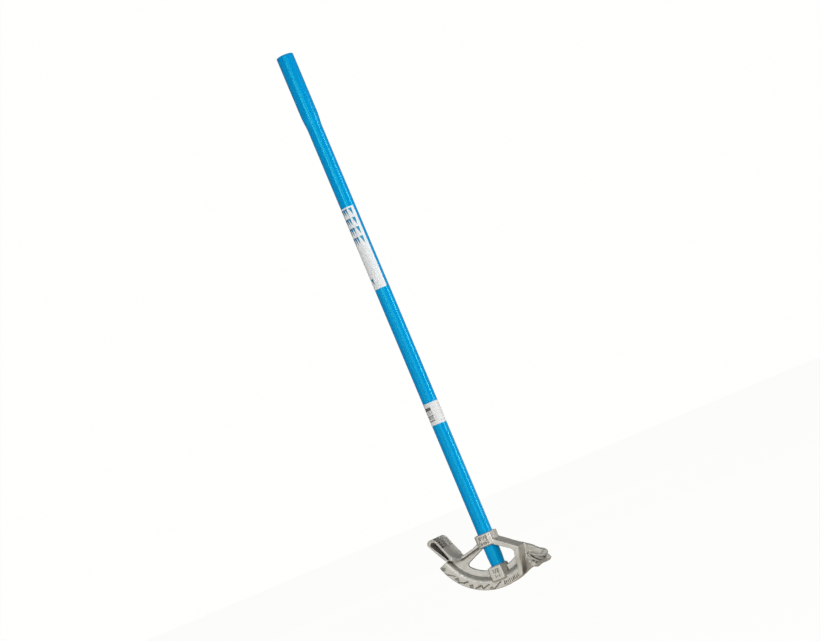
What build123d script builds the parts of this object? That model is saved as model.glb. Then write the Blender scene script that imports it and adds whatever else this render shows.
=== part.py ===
from build123d import *
from math import cos, radians, sin
import os

os.makedirs("parts", exist_ok=True)

# Hand conduit bender for 1/2 in EMT. Millimetres.
# +Z runs up the handle, +X points towards the conduit hook, and Y is across the head.
# The origin is on the handle's axis, at the lowest point of the shoe's rim.

# Conduit that the bender is made for
conduit_od = 17.93
groove_clearance = 0.135

# Handle: 3/4 in steel pipe with a swaged grip end
pipe_od = 26.67
pipe_wall = 2.87
handle_length = 965.0
handle_bottom = 20.0
grip_od = 30.4
grip_length = 110.6
grip_cone = 28.6
grip_rim_round = 1.6
neck_od = 25.0
neck_start = 41.0
neck_taper = 15.0
thread_lead = 1.5

# Shoe: a channel bent to an arc about an axis across the head
rim_radius = 104.0
shoe_width = 26.0
shoe_depth = 21.0
shoe_shoulder = 9.0
shoe_left_angle = 71.0
shoe_right_angle = 33.0
exit_angle = 30.0
groove_left_angle = 90.0
conduit_run = 120.0
beyond_leg = 80.0

# Web between the shoe and the struts
web_thickness = 6.0
window_radius = 70.0
window_corner = 6.0
web_overlap = 2.0

# Collar that guides the handle, and socket that it screws into
collar_bottom = 75.5
collar_height = 21.1
collar_radius = 17.5
collar_pad_width = 25.6
collar_pad_depth = 41.6
collar_bore_clearance = 0.3
socket_bottom = 14.2
socket_top = 38.6
socket_radius = 15.4
socket_pad_width = 24.8
socket_pad_depth = 37.8
socket_bore_clearance = 0.1
socket_floor_gap = 2.0
pad_corner = 3.0

# Right strut and leg
strut_width = 35.0
leg_foot_width = 26.0
leg_taper_top = 44.0
leg_taper_bottom = 18.0
above_knee = 70.0
leg_top = (52.4, 54.6)
leg_foot = (35.0, -5.0)
mouth_radius = 8.2
mouth_angle = 48.0
mouth_on_face = (46.2, 23.6)
mouth_depth = 17.0

# Foot pedal
pedal_width = 52.0
flange_width = 17.0
pedal_neck_start = -66.0
pedal_neck_end = -50.0
pedal_neck_round = 7.0

# Hook
hook_wall_front = 9.6
hook_wall_back = 15.2
hook_rim_back = 17.5
claw_start = 20.0
claw_end = 35.0
claw_thickness = 4.8
claw_back_angle = -40.0
claw_front_angle = 102.0
claw_round = 1.8

# Labels on the handle, measured down from its top
label_thickness = 0.12
instruction_label_top = 283.0
instruction_label_length = 151.0
instruction_label_angle = 170.0
instruction_label_turn = -110.0
barcode_label_top = 647.5
barcode_label_length = 39.2
barcode_label_angle = 215.0
barcode_label_turn = -66.0

groove_radius = conduit_od / 2 + groove_clearance
handle_top = handle_bottom + handle_length
collar_bore = pipe_od / 2 + collar_bore_clearance
socket_bore = neck_od / 2 + socket_bore_clearance

# Cutting solids run well past the metal, or a little past a face that they end at
reach = 400.0
overshoot = 1.0

shoe_axis = Axis((0, 0, rim_radius), (0, 1, 0))
section_plane = Plane(origin=(0, 0, rim_radius), x_dir=(0, 1, 0), z_dir=(1, 0, 0))

exit_direction = Vector(cos(radians(exit_angle)), 0, sin(radians(exit_angle)))
exit_outward = Vector(sin(radians(exit_angle)), 0, -cos(radians(exit_angle)))
exit_point = Vector(0, 0, rim_radius) + exit_outward * rim_radius
exit_plane = Plane(origin=exit_point, x_dir=(0, 1, 0), z_dir=exit_direction)


def slab(points, front, back, corners=None):
    """Solid with the given side-view outline of (x, z) points, from y = front to y = back.

    corners maps the number of an outline point to the radius that rounds it.
    """
    face = make_face(Polyline(*points, close=True))
    for number, radius in (corners or {}).items():
        x, z = points[number]
        near = face.vertices().sort_by_distance(Vector(x, z, 0))[0]
        face = fillet(near, radius)
    return Pos(0, back, 0) * extrude(Plane.XZ * face, amount=back - front)


def upright_block(size_x, size_y, bottom, top, corner):
    """Block on the handle's axis with rounded upright edges."""
    face = RectangleRounded(size_x, size_y, corner)
    return Pos(0, 0, bottom) * extrude(face, amount=top - bottom)


def upright_cylinder(radius, bottom, top):
    """Round post on the handle's axis."""
    return Pos(0, 0, bottom) * extrude(Circle(radius), amount=top - bottom)


def swept_round_shoe(section, left_angle, right_angle):
    """Turn a section of the shoe about the shoe's axis, from the right end to the left end."""
    start = section_plane * section
    start = start.rotate(shoe_axis, -right_angle)
    return revolve(start, axis=shoe_axis, revolution_arc=left_angle + right_angle)


def shoe():
    """Channel that the conduit bends around, with a rounded shoulder on each side of the web."""
    block = Pos(0, -rim_radius + shoe_depth / 2) * Rectangle(shoe_width, shoe_depth)
    shoulders = block.vertices().sort_by(Axis.Y)[-2:]
    block = fillet(shoulders, shoe_shoulder)
    channel = swept_round_shoe(block, shoe_left_angle, shoe_right_angle)
    front_end = slab(
        [leg_top, leg_foot, (beyond_leg, leg_foot[1]), (beyond_leg, leg_top[1])], -reach, groove_radius
    )
    return channel - front_end


def conduit_space():
    """Room for the conduit: the bent run in the shoe and the straight run out through the hook."""
    bent = swept_round_shoe(Pos(0, -rim_radius) * Circle(groove_radius), groove_left_angle, exit_angle)
    straight = extrude(exit_plane * Circle(groove_radius), amount=conduit_run)
    return bent + straight


def web():
    """Thin wall in the head's middle plane, with the window that the handle crosses."""
    outline = slab(
        [(-81.0, 79.0), (-72.0, 86.0), (-60.0, 74.0), (-20.0, 82.0), (0.0, 90.0), (14.0, 82.0),
         (46.0, 56.0), (42.0, 10.0), (-60.0, 10.0), (-100.0, 60.0)],
        -web_thickness / 2,
        web_thickness / 2,
    )
    across = Pos(0, 0, rim_radius) * Rot(90, 0, 0)
    wall = outline & across * Cylinder(rim_radius - shoe_depth + web_overlap, reach)
    opening = slab(
        [(-51.5, 57.5), (-13.7, 73.4), (9.0, 76.0), (43.0, 50.7), (46.0, 30.0), (0.0, 24.0),
         (-33.0, 38.0)],
        -reach,
        reach,
        {0: window_corner},
    )
    return wall - (opening & across * Cylinder(window_radius, reach))


def groove_mouth():
    """Scoop in the leg's outer face, above the end of the groove."""
    x, z = mouth_on_face
    inwards = Vector(-cos(radians(mouth_angle)), 0, -sin(radians(mouth_angle)))
    outer_end = Vector(x, 0, z) - inwards * mouth_radius * 2
    inner_end = Vector(x, 0, z) + inwards * mouth_depth
    bore = extrude(
        Plane(origin=outer_end, x_dir=(0, 1, 0), z_dir=inwards) * Circle(mouth_radius),
        amount=(inner_end - outer_end).length,
    )
    return bore + Pos(*inner_end) * Sphere(mouth_radius)


def boss(radius, pad_width, pad_depth, bottom, top):
    """Round post with a flat pad on its front and its back."""
    post = upright_cylinder(radius, bottom, top)
    pads = upright_block(pad_width, pad_depth, bottom, top, pad_corner)
    return post + pads


def right_strut():
    """Flat strap from the collar to the knee, 35 mm wide."""
    half = strut_width / 2
    outline = [(9.3, 75.8), (9.3, 86.6), (12.9, 84.0), leg_top, (43.1, 50.7), (39.5, 56.5)]
    return slab(outline, -half, half, {3: 3.0, 5: 5.0})


def leg():
    """Strap from the knee down to the shoe, which narrows to the shoe's width."""
    half = strut_width / 2
    outline = [leg_top, (50.5, 56.0), (40.5, 56.0), (43.1, 50.7), (39.4, 38.3), (36.0, 20.0),
               (33.0, 8.0), (38.8, 8.0)]
    strap = slab(outline, -half, half)
    foot = leg_foot_width / 2
    side_view = make_face(
        Polyline(
            (-half, above_knee), (half, above_knee), (half, leg_taper_top), (foot, leg_taper_bottom),
            (foot, 0.0), (-foot, 0.0), (-foot, leg_taper_bottom), (-half, leg_taper_top), close=True,
        )
    )
    wedge = extrude(Plane.YZ * side_view, amount=reach)
    return strap & wedge


def pedal_and_left_strut():
    """Hollow pedal loop whose front plate runs down into the flange of the left strut."""
    half = pedal_width / 2
    outside = [
        (-77.4, 77.4), (-87.4, 94.6), (-98.2, 115.0), (-96.0, 121.4), (-85.5, 122.4), (-80.0, 117.0),
        (-74.6, 102.5), (-67.6, 86.7), (-62.0, 76.6), (-55.0, 74.4), (-30.5, 79.6), (-20.0, 84.2),
        (-12.0, 88.0), (-12.0, 76.0), (-22.0, 75.4), (-48.8, 69.6), (-59.6, 67.8), (-70.6, 76.0),
    ]
    rounds = {2: 6.0, 3: 5.5, 4: 5.0, 5: 5.0, 8: 8.0, 15: 4.0, 16: 6.0}
    loop = slab(outside, -half, half, rounds)
    hollow = slab(
        [(-92.9, 114.2), (-88.3, 118.0), (-83.4, 114.2), (-76.9, 98.5), (-70.6, 83.0), (-73.6, 80.2)],
        -reach,
        reach,
        {0: 3.0, 1: 3.0, 2: 3.0},
    )
    neck = flange_width / 2
    plan = make_face(
        Polyline(
            (-reach, -half), (-reach, half), (pedal_neck_start, half), (pedal_neck_end, neck),
            (reach, neck), (reach, -neck), (pedal_neck_end, -neck), (pedal_neck_start, -half), close=True,
        )
    )
    necks = plan.vertices().filter_by(lambda v: abs(v.X) < reach)
    plan = fillet(necks, pedal_neck_round)
    footprint = extrude(plan, amount=reach)
    return (loop - hollow) & footprint


def claw():
    """Finger that curls from the hook's wall under the conduit."""
    inner = groove_radius
    outer = groove_radius + claw_thickness

    def on_circle(radius, angle):
        """Point at an angle from the back (+Y) towards the outside of the bend."""
        return (radius * cos(radians(angle)), -radius * sin(radians(angle)))

    middle = (claw_back_angle + claw_front_angle) / 2
    ring = make_face(
        [
            ThreePointArc(
                on_circle(outer, claw_back_angle),
                on_circle(outer, middle),
                on_circle(outer, claw_front_angle),
            ),
            Line(on_circle(outer, claw_front_angle), on_circle(inner, claw_front_angle)),
            ThreePointArc(
                on_circle(inner, claw_front_angle),
                on_circle(inner, middle),
                on_circle(inner, claw_back_angle),
            ),
            Line(on_circle(inner, claw_back_angle), on_circle(outer, claw_back_angle)),
        ]
    )
    start_plane = exit_plane.offset(claw_start)
    finger = extrude(start_plane * ring, amount=claw_end - claw_start)
    tip = finger.faces().sort_by(Axis.Y)[0]
    return fillet(tip.edges(), claw_round)


def hook_wall():
    """Wall behind the conduit that carries the claw, with a thicker rim along its upper edge."""
    wall = slab(
        [(44.0, 58.0), (50.0, 57.5), (67.4, 48.0), (74.0, 40.6), (83.2, 33.4), (84.6, 29.0),
         (83.0, 23.6), (86.0, 18.6), (83.6, 14.6), (78.0, 12.6), (71.5, 15.2), (66.0, 11.6),
         (60.0, 9.9), (54.0, 11.6), (46.0, 12.4), (42.0, 20.0), (44.0, 40.0)],
        hook_wall_front,
        hook_wall_back,
        {3: 6.0, 4: 4.0, 8: 2.5, 10: 3.0},
    )
    rim = slab(
        [(46.0, 60.4), (50.0, 58.8), (67.6, 49.4), (74.2, 41.6), (83.4, 34.2), (81.2, 31.0),
         (71.5, 38.4), (65.2, 45.6), (48.5, 54.8), (44.0, 56.0)],
        hook_wall_front,
        hook_rim_back,
        {2: 6.0, 3: 6.0, 6: 6.0, 7: 6.0},
    )
    return wall + rim


def head_casting():
    """The bending head: one aluminium casting."""
    collar_top = collar_bottom + collar_height
    metal = shoe() + web() + right_strut() + leg() + pedal_and_left_strut() + hook_wall() + claw()
    metal += boss(collar_radius, collar_pad_width, collar_pad_depth, collar_bottom, collar_top)
    metal += boss(socket_radius, socket_pad_width, socket_pad_depth, socket_bottom, socket_top)
    metal -= upright_cylinder(collar_bore, socket_top, collar_top + overshoot)
    metal -= upright_cylinder(socket_bore, handle_bottom - socket_floor_gap, socket_top + overshoot)
    return metal - conduit_space() - groove_mouth()


def handle_pipe():
    """Steel pipe with a swaged grip end, and a reduced end that screws into the socket."""
    outer = pipe_od / 2
    grip = grip_od / 2
    neck = neck_od / 2
    grip_start = handle_top - grip_length
    profile = make_face(
        Polyline(
            (neck - pipe_wall, handle_bottom),
            (neck - thread_lead, handle_bottom),
            (neck, handle_bottom + thread_lead),
            (neck, neck_start),
            (outer, neck_start + neck_taper),
            (outer, grip_start - grip_cone),
            (grip, grip_start),
            (grip, handle_top),
            (grip - pipe_wall, handle_top),
            (grip - pipe_wall, grip_start),
            (outer - pipe_wall, grip_start - grip_cone),
            (outer - pipe_wall, neck_start + neck_taper),
            (neck - pipe_wall, neck_start),
            close=True,
        )
    )
    rim = profile.vertices().filter_by(lambda v: v.Y > handle_top - 1.0).sort_by(Axis.X)[-1]
    profile = fillet(rim, grip_rim_round)
    return revolve(Plane.XZ * profile, axis=Axis.Z)


def label(top_distance, length, angle, turn):
    """Thin sheet stuck on the pipe, as a curved band centred on the direction turn."""
    inner = pipe_od / 2
    top = handle_top - top_distance
    profile = Pos(inner + label_thickness / 2, top - length / 2) * Rectangle(label_thickness, length)
    band = revolve(Plane.XZ * profile, axis=Axis.Z, revolution_arc=angle)
    return Rot(0, 0, turn - angle / 2) * band


def write(part, name):
    """Write one sub-part as a STEP file."""
    export_step(part, f"parts/{name}.step")


write(head_casting(), "head_casting")
write(handle_pipe(), "handle_pipe")
write(
    label(
        instruction_label_top, instruction_label_length, instruction_label_angle, instruction_label_turn
    ),
    "instruction_label",
)
write(
    label(barcode_label_top, barcode_label_length, barcode_label_angle, barcode_label_turn),
    "barcode_label",
)
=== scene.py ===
from functools import reduce
from math import cos, hypot, pi, radians, sin, sqrt

import bpy
import numpy as np
from mathutils import Matrix, Vector


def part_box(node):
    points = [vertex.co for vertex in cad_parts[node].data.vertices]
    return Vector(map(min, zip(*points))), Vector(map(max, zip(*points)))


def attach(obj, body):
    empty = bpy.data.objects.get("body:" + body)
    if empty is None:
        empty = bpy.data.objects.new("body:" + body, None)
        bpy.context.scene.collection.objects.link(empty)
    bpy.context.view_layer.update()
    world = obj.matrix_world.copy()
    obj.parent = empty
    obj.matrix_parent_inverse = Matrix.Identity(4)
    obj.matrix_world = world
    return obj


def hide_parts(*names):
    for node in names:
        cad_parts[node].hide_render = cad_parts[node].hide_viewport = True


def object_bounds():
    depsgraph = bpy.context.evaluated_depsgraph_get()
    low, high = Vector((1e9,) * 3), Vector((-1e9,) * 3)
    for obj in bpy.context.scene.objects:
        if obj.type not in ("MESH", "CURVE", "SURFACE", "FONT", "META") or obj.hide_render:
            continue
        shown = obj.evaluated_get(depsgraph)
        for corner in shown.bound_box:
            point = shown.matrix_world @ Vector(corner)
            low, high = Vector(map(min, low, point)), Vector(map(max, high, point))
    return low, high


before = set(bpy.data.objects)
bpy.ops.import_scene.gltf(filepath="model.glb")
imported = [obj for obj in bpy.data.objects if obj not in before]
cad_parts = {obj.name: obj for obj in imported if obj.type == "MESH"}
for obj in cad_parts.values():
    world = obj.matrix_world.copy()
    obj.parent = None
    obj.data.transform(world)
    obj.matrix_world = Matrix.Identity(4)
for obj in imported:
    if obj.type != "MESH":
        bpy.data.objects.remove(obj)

cad_low, cad_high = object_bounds()

# Sizes are in millimetres unless a name says otherwise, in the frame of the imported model:
# +Z up the handle, +X towards the hook, Y across the head, origin at the lowest point of the shoe's rim.
MM = 0.001
head_low, head_high = (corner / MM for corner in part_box("head_casting"))
pipe_low, pipe_high = (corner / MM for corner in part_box("handle_pipe"))
grip_extra = 3.8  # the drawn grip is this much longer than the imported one
pipe_high.z += grip_extra
print_low, print_high = (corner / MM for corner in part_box("instruction_label"))
bars_low, bars_high = (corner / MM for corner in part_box("barcode_label"))

# Grid that the head's shape is worked out on, and how many faces its mesh keeps
voxel = 0.5
margin = 3.0
kept_faces = 170000
far = 500.0

# Shoe, web and struts. The shoe's two ends are turns in degrees from straight under the handle
rim_radius = 104.0
groove_radius = 9.1
shoe_half = 13.0
shoe_depth = 21.0
shoulder = 9.0
shoe_left, shoe_right = -71.0, 33.0
exit_angle = 30.0
web_half = 3.0
window_radius = 71.8
strut_half = 17.5
flange_half = 8.5
leg_top = (52.9, 55.2)
leg_foot = (35.0, -5.0)

# Pedal
pedal_half = head_high.y
pedal_edge = 0.9
tread_start, tread_end = 0.2, 33.0
pit_row, pit_column = 4.9, 17.3
pit_depth = 2.2

# Collar and socket on the handle's axis
collar_bottom, collar_top = 75.5, 96.6
collar_radius, collar_bore = 16.6, 13.6
collar_pad = (15.1, 20.8)
collar_corner, collar_shift = 6.2, -0.5
socket_bottom, socket_top = 15.0, 38.9
socket_radius, socket_bore = 16.2, 12.6
socket_pad = (12.8, 18.9)
socket_corner, socket_shift = 3.0, -2.4

# Hook
plate_front, plate_back, rim_back = 11.2, 15.6, 18.2
claw_reach = 6.0

# Mouth of the groove, a sloping scoop through the leg: the middle of its axis, its slope and its size
mouth_x, mouth_z = 46.2, 23.6
mouth_slope = radians(48.0)
mouth_radius, mouth_half = 8.2, 17.0

# Handle. The thread's length, end and bare steel are counted from the pipe's lower end
pipe_radius = 13.335
pipe_wall = 2.87
grip_radius = 15.2
grip_length = 110.6
grip_cone = 28.6
neck_radius = 12.5
neck_top = 41.0
neck_taper = 15.0
thread_pitch, thread_depth = 1.814, 1.1
thread_length, thread_step = 19.0, 0.3
thread_end, thread_lead, bare_end = 18.5, 3.0, 19.6
around = 128

# Labels: the turn of the middle from +X and the angle covered, in degrees, and the corner's radius
sheet_wrap = (-110.0, 170.0, 2.0)
bars_wrap = (-66.0, 215.0, 1.5)
print_lift = 0.12

# Camera, in front of the head and a little to its right
camera_place = (1526.8, -3695.1, 182.5)
camera_target = (21.2, 8.6, 479.7)
camera_roll = -22.85
camera_lens = 102.56
camera_shift = (-0.0006, 0.0006)

# Studio, in metres. Each light is a name, its turn in degrees from straight in front towards +X, its
# distance and height, its width and height, and how bright it looks.
room_light, room_tint = 0.17, (1.0, 0.97, 0.93, 1)
floor_radius, floor_sides, floor_gap = 20.0, 96, 0.0005
floor_shade, surround_shade = (0.970, 0.970, 0.958), (0.995, 0.995, 0.983)
far_wall = 30.0
lights = [
    ("left_sheet", -24.0, 2.8, 0.10, 2.2, 1.7, 1.05),
    ("key", 24.0, 3.0, 0.50, 2.0, 2.4, 2.0),
    ("front_window", 4.0, 2.6, 1.12, 0.9, 0.75, 4.6),
    ("side_strip", 96.0, 1.6, 0.58, 0.45, 1.1, 8.5),
    ("back_sheet", 165.0, 0.8, 0.16, 0.8, 0.4, 0.45),
    ("rear_fill", 208.0, 2.6, 0.6, 1.6, 1.6, 0.9),
]
plain_tint, back_tint, bounce_tint = (1, 1, 1), (1.0, 0.93, 0.86), (1.0, 0.76, 0.52)
bounce_height, bounce_width, bounce_radiance = -0.7, 3.0, 0.35


# ---- Distance fields, negative inside the metal. The head is one casting and one field

def grid_axis(low, high):
    return np.arange(low - margin, high + margin, voxel, dtype=np.float32)


xs = grid_axis(head_low.x, head_high.x + claw_reach)
ys = grid_axis(head_low.y, head_high.y)
zs = grid_axis(head_low.z, head_high.z)
X, Y, Z = xs[:, None, None], ys[None, :, None], zs[None, None, :]
grid_origin = np.array([xs[0], ys[0], zs[0]])
rim_distance = np.hypot(X, Z - rim_radius)
rim_turn = np.degrees(np.arctan2(X, rim_radius - Z))


def rising(value, start, run):
    """0 up to the start, and 1 from a run after it."""
    return np.clip((value - start) / run, 0, 1)


def falling(value, end, run):
    """1 up to a run before the end, and 0 from the end on."""
    return np.clip((end - value) / run, 0, 1)


def layer(value, low, high):
    """Field of what lies between two levels."""
    return np.abs(value - (low + high) / 2) - (high - low) / 2


def round_corner(a, b):
    """Meeting of two fields, measured round their common edge."""
    return np.minimum(np.maximum(a, b), 0) + np.hypot(np.maximum(a, 0), np.maximum(b, 0))


def inside_edges(a, b, edge=0.0):
    """Meeting of two fields, with their common edge rounded."""
    if not edge:
        return np.maximum(a, b)
    return np.minimum(np.maximum(a, b), -edge) + np.hypot(np.maximum(a + edge, 0), np.maximum(b + edge, 0))


def joined(a, b, fillet):
    """Union of two fields, with a fillet in the corner between them."""
    inner = np.hypot(np.maximum(fillet - a, 0), np.maximum(fillet - b, 0))
    return np.maximum(np.minimum(a, b), fillet) - inner


def cut(a, b, edge=0.0):
    """First field without the second, with the new edge rounded."""
    return inside_edges(a, -b, edge)


def to_line(a, b, start, end):
    """Share of the way along a straight line that is nearest to each point, and how far off it is."""
    (x1, y1), (x2, y2) = start, end
    ex, ey = x2 - x1, y2 - y1
    share = np.clip(((a - x1) * ex + (b - y1) * ey) / (ex * ex + ey * ey), 0, 1)
    return share, np.hypot(a - x1 - ex * share, b - y1 - ey * share)


def polygon(points, a, b):
    """Signed distance to a closed outline in the plane of a and b."""
    best = np.full(np.broadcast(a, b).shape, far * far, np.float32)
    sign = np.ones_like(best)
    for (x1, y1), (x2, y2) in zip(points, points[-1:] + points[:-1]):
        ex, ey = x2 - x1, y2 - y1
        wx, wy = a - x1, b - y1
        share = np.clip((wx * ex + wy * ey) / (ex * ex + ey * ey), 0, 1)
        best = np.minimum(best, (wx - ex * share) ** 2 + (wy - ey * share) ** 2)
        above, below = b >= y1, b < y2
        left = ex * wy > ey * wx
        flips = (above & below & left) | (~above & ~below & ~left)
        sign = np.where(flips, -sign, sign)
    return sign * np.sqrt(best)


def rounded(points, radii):
    """Outline whose numbered corners are replaced by arcs."""
    steps = 6
    made = []
    for number, point in enumerate(points):
        radius = radii.get(number)
        if not radius:
            made.append(point)
            continue
        here = Vector(point)
        before = (Vector(points[number - 1]) - here).normalized()
        after = (Vector(points[number + 1 - len(points)]) - here).normalized()
        half_turn = before.angle(after) / 2
        run = radius / np.tan(half_turn)
        centre = here + (before + after).normalized() * (radius / sin(half_turn))
        start, end = here + before * run - centre, here + after * run - centre
        swing = start.angle_signed(end)
        for step in range(steps + 1):
            turned = Matrix.Rotation(-swing * step / steps, 2) @ start
            made.append(tuple(centre + turned))
    return made


def slab(points, front, back, edge, radii=None):
    """Plate with an outline of (x, z) points, from y = front to y = back, with rounded edges."""
    outline = polygon(rounded(points, radii or {}), X, Z) + edge
    return round_corner(outline, layer(Y, front, back) + edge) - edge


def post(radius, bottom, top, edge=0.0):
    """Round post on the handle's axis."""
    return inside_edges(np.hypot(X, Y) - radius, layer(Z, bottom, top), edge)


def rod(start, end, radius_start, radius_end):
    """Round bar between two points, thicker at one end."""
    ax, ay, az = start
    bx, by, bz = (e - s for s, e in zip(start, end))
    length_squared = bx * bx + by * by + bz * bz
    share = np.clip(((X - ax) * bx + (Y - ay) * by + (Z - az) * bz) / length_squared, 0, 1)
    distance = np.sqrt((X - ax - bx * share) ** 2 + (Y - ay - by * share) ** 2
                       + (Z - az - bz * share) ** 2)
    return distance - radius_start - (radius_end - radius_start) * share


def rods(points):
    """Chain of round bars through (x, y, z, radius) points."""
    return reduce(np.minimum, (rod(a[:3], b[:3], a[3], b[3]) for a, b in zip(points, points[1:])))


def conduit_space():
    """Room for the conduit: bent along the groove, then straight out through the hook."""
    run_x, run_z = cos(radians(exit_angle)), sin(radians(exit_angle))
    exit_x, exit_z = rim_radius * run_z, rim_radius * (1 - run_x)
    along = (X - exit_x) * run_x + (Z - exit_z) * run_z
    down = (X - exit_x) * run_z - (Z - exit_z) * run_x
    bent = np.where(rim_turn < exit_angle, np.hypot(rim_distance - rim_radius, Y), far)
    straight = np.where(along > 0, np.hypot(down, Y), far)
    return np.minimum(bent, straight) - groove_radius


def shoe():
    """Channel that the conduit bends around, with a rounded shoulder each side of the web."""
    inner = rim_radius - shoe_depth
    dr, dy = inner + shoulder - rim_distance, np.abs(Y) - shoe_half + shoulder
    corner = round_corner(dr, dy) - shoulder
    section = inside_edges(corner, rim_distance - rim_radius, 1.2)
    left, right = radians(shoe_left), radians(shoe_right)
    left_end = -(X * cos(left) + (Z - rim_radius) * sin(left))
    right_end = X * cos(right) + (Z - rim_radius) * sin(right)
    channel = inside_edges(inside_edges(section, left_end, 1.2), right_end, 1.2)
    along_leg = (leg_top[0] - leg_foot[0], leg_top[1] - leg_foot[1])
    beyond = ((X - leg_foot[0]) * along_leg[1] - (Z - leg_foot[1]) * along_leg[0]) / hypot(*along_leg)
    near_wall = np.maximum(-beyond, Y - groove_radius)
    return cut(channel, near_wall, 0.8)


def web():
    """Thin wall in the middle plane with the window that the handle crosses."""
    outline = [(-81, 79), (-72, 86), (-60, 74), (-20, 82), (0, 90), (14, 82), (46, 56), (42, 10),
               (-60, 10), (-100, 60)]
    wall = slab(outline, -web_half, web_half, 0.8)
    wall = np.maximum(wall, rim_distance - (rim_radius - shoe_depth + 2))
    opening = [(-54.6, 56.4), (-13.7, 73.4), (9, 76), (43, 50.7), (46, 30), (0, 24), (-33, 38)]
    window = np.maximum(polygon(rounded(opening, {0: 4.5}), X, Z), rim_distance - window_radius)
    return cut(wall, window, 1.6)


def right_strut():
    """Flat strap from the collar down to the knee."""
    outline = [(9.3, 75.8), (9.3, 87.2), (13.3, 84.6), leg_top, (42.4, 50.5), (38.9, 56.3)]
    return slab(outline, -strut_half, strut_half, 0.9, {5: 5.0})


def leg():
    """Strap from the knee down to the shoe, which narrows to the shoe's width."""
    outline = [leg_top, (50.5, 56.0), (40.0, 56.0), (42.4, 50.5), (38.6, 38.3), (35.6, 20.0),
               (33.0, 8.0), (38.8, 8.0)]
    strap = slab(outline, -strut_half, strut_half, 0.9)
    side = np.abs(Y) - (strut_half + (shoe_half - strut_half) * falling(Z, 44.0, 26.0))
    return inside_edges(strap, side, 0.9)


def pedal_path(points):
    """How far along a bent line of (x, z) points the nearest place on it lies."""
    best = np.full(np.broadcast(X, Z).shape, far, np.float32)
    along = np.zeros_like(best)
    passed = 0.0
    for start, end in zip(points, points[1:]):
        length = hypot(end[0] - start[0], end[1] - start[1])
        share, distance = to_line(X, Z, start, end)
        nearer = distance < best
        best = np.where(nearer, distance, best)
        along = np.where(nearer, passed + share * length, along)
        passed += length
    return along


def tread_pits():
    """Depth of the pits in the pedal's tread: three columns of wide pits, with thin ridges between."""
    path = [(-73.6, 100.0), (-74.3, 101.9), (-79.9, 116.4), (-85.4, 121.3), (-96.6, 120.1), (-97.6, 114.9)]
    along = pedal_path(path)
    a = (np.mod((along - tread_start) / pit_row, 1.0) - 0.5) * pit_row
    b = (np.mod(Y / pit_column + 0.5, 1.0) - 0.5) * pit_column
    oval = np.sqrt((a / 2.15) ** 2 + (b / 8.2) ** 4)
    band = rising(along, tread_start, 0.25) * falling(along, tread_end, 0.25)
    return pit_depth * falling(oval, 1.08, 0.62) * band * falling(np.abs(Y), pedal_half - 0.9, 0.8)


pedal_hollow = rounded([(-93.2, 111.7), (-87.8, 116.5), (-82.4, 112.5), (-69.8, 79.8), (-72.2, 77.8)],
                       {0: 3.0, 1: 3.0, 2: 3.0, 3: 1.2})


def pedal_and_left_strut():
    """Hollow pedal whose front plate runs down into the flange of the left strut."""
    outside = [(-77.4, 77.4), (-87.2, 94.1), (-97.8, 113.9), (-95.6, 120.3), (-85.1, 121.3), (-79.6, 115.9),
               (-74.3, 101.9), (-67.6, 86.7), (-62.0, 76.6), (-55.0, 74.4), (-30.5, 79.6), (-20.0, 84.2),
               (-12.0, 88.0), (-12.0, 78.0), (-22.0, 77.4), (-48.8, 71.4), (-59.6, 69.3), (-70.6, 76.0)]
    rounds = {2: 5.0, 3: 7.0, 4: 5.0, 5: 5.0, 8: 8.0, 15: 4.0, 16: 6.0}
    body = polygon(rounded(outside, rounds), X, Z) + pedal_edge + tread_pits()
    half = flange_half + (pedal_half - flange_half) * falling(X, -50.0, 16.0) ** 1.4
    loop = round_corner(body, np.abs(Y) - half + pedal_edge) - pedal_edge
    return cut(loop, polygon(pedal_hollow, X, Z), pedal_edge)


def boss(radius, half_pads, bottom, top, corner, shift):
    """Round boss with a flat pad towards each side of the head."""
    edge = 1.0
    dx, dy = np.abs(X - shift) - half_pads[0] + corner, np.abs(Y) - half_pads[1] + corner
    pads = inside_edges(round_corner(dx, dy) - corner, layer(Z, bottom, top), edge)
    return joined(post(radius, bottom, top, edge), pads, 2.5)


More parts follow.
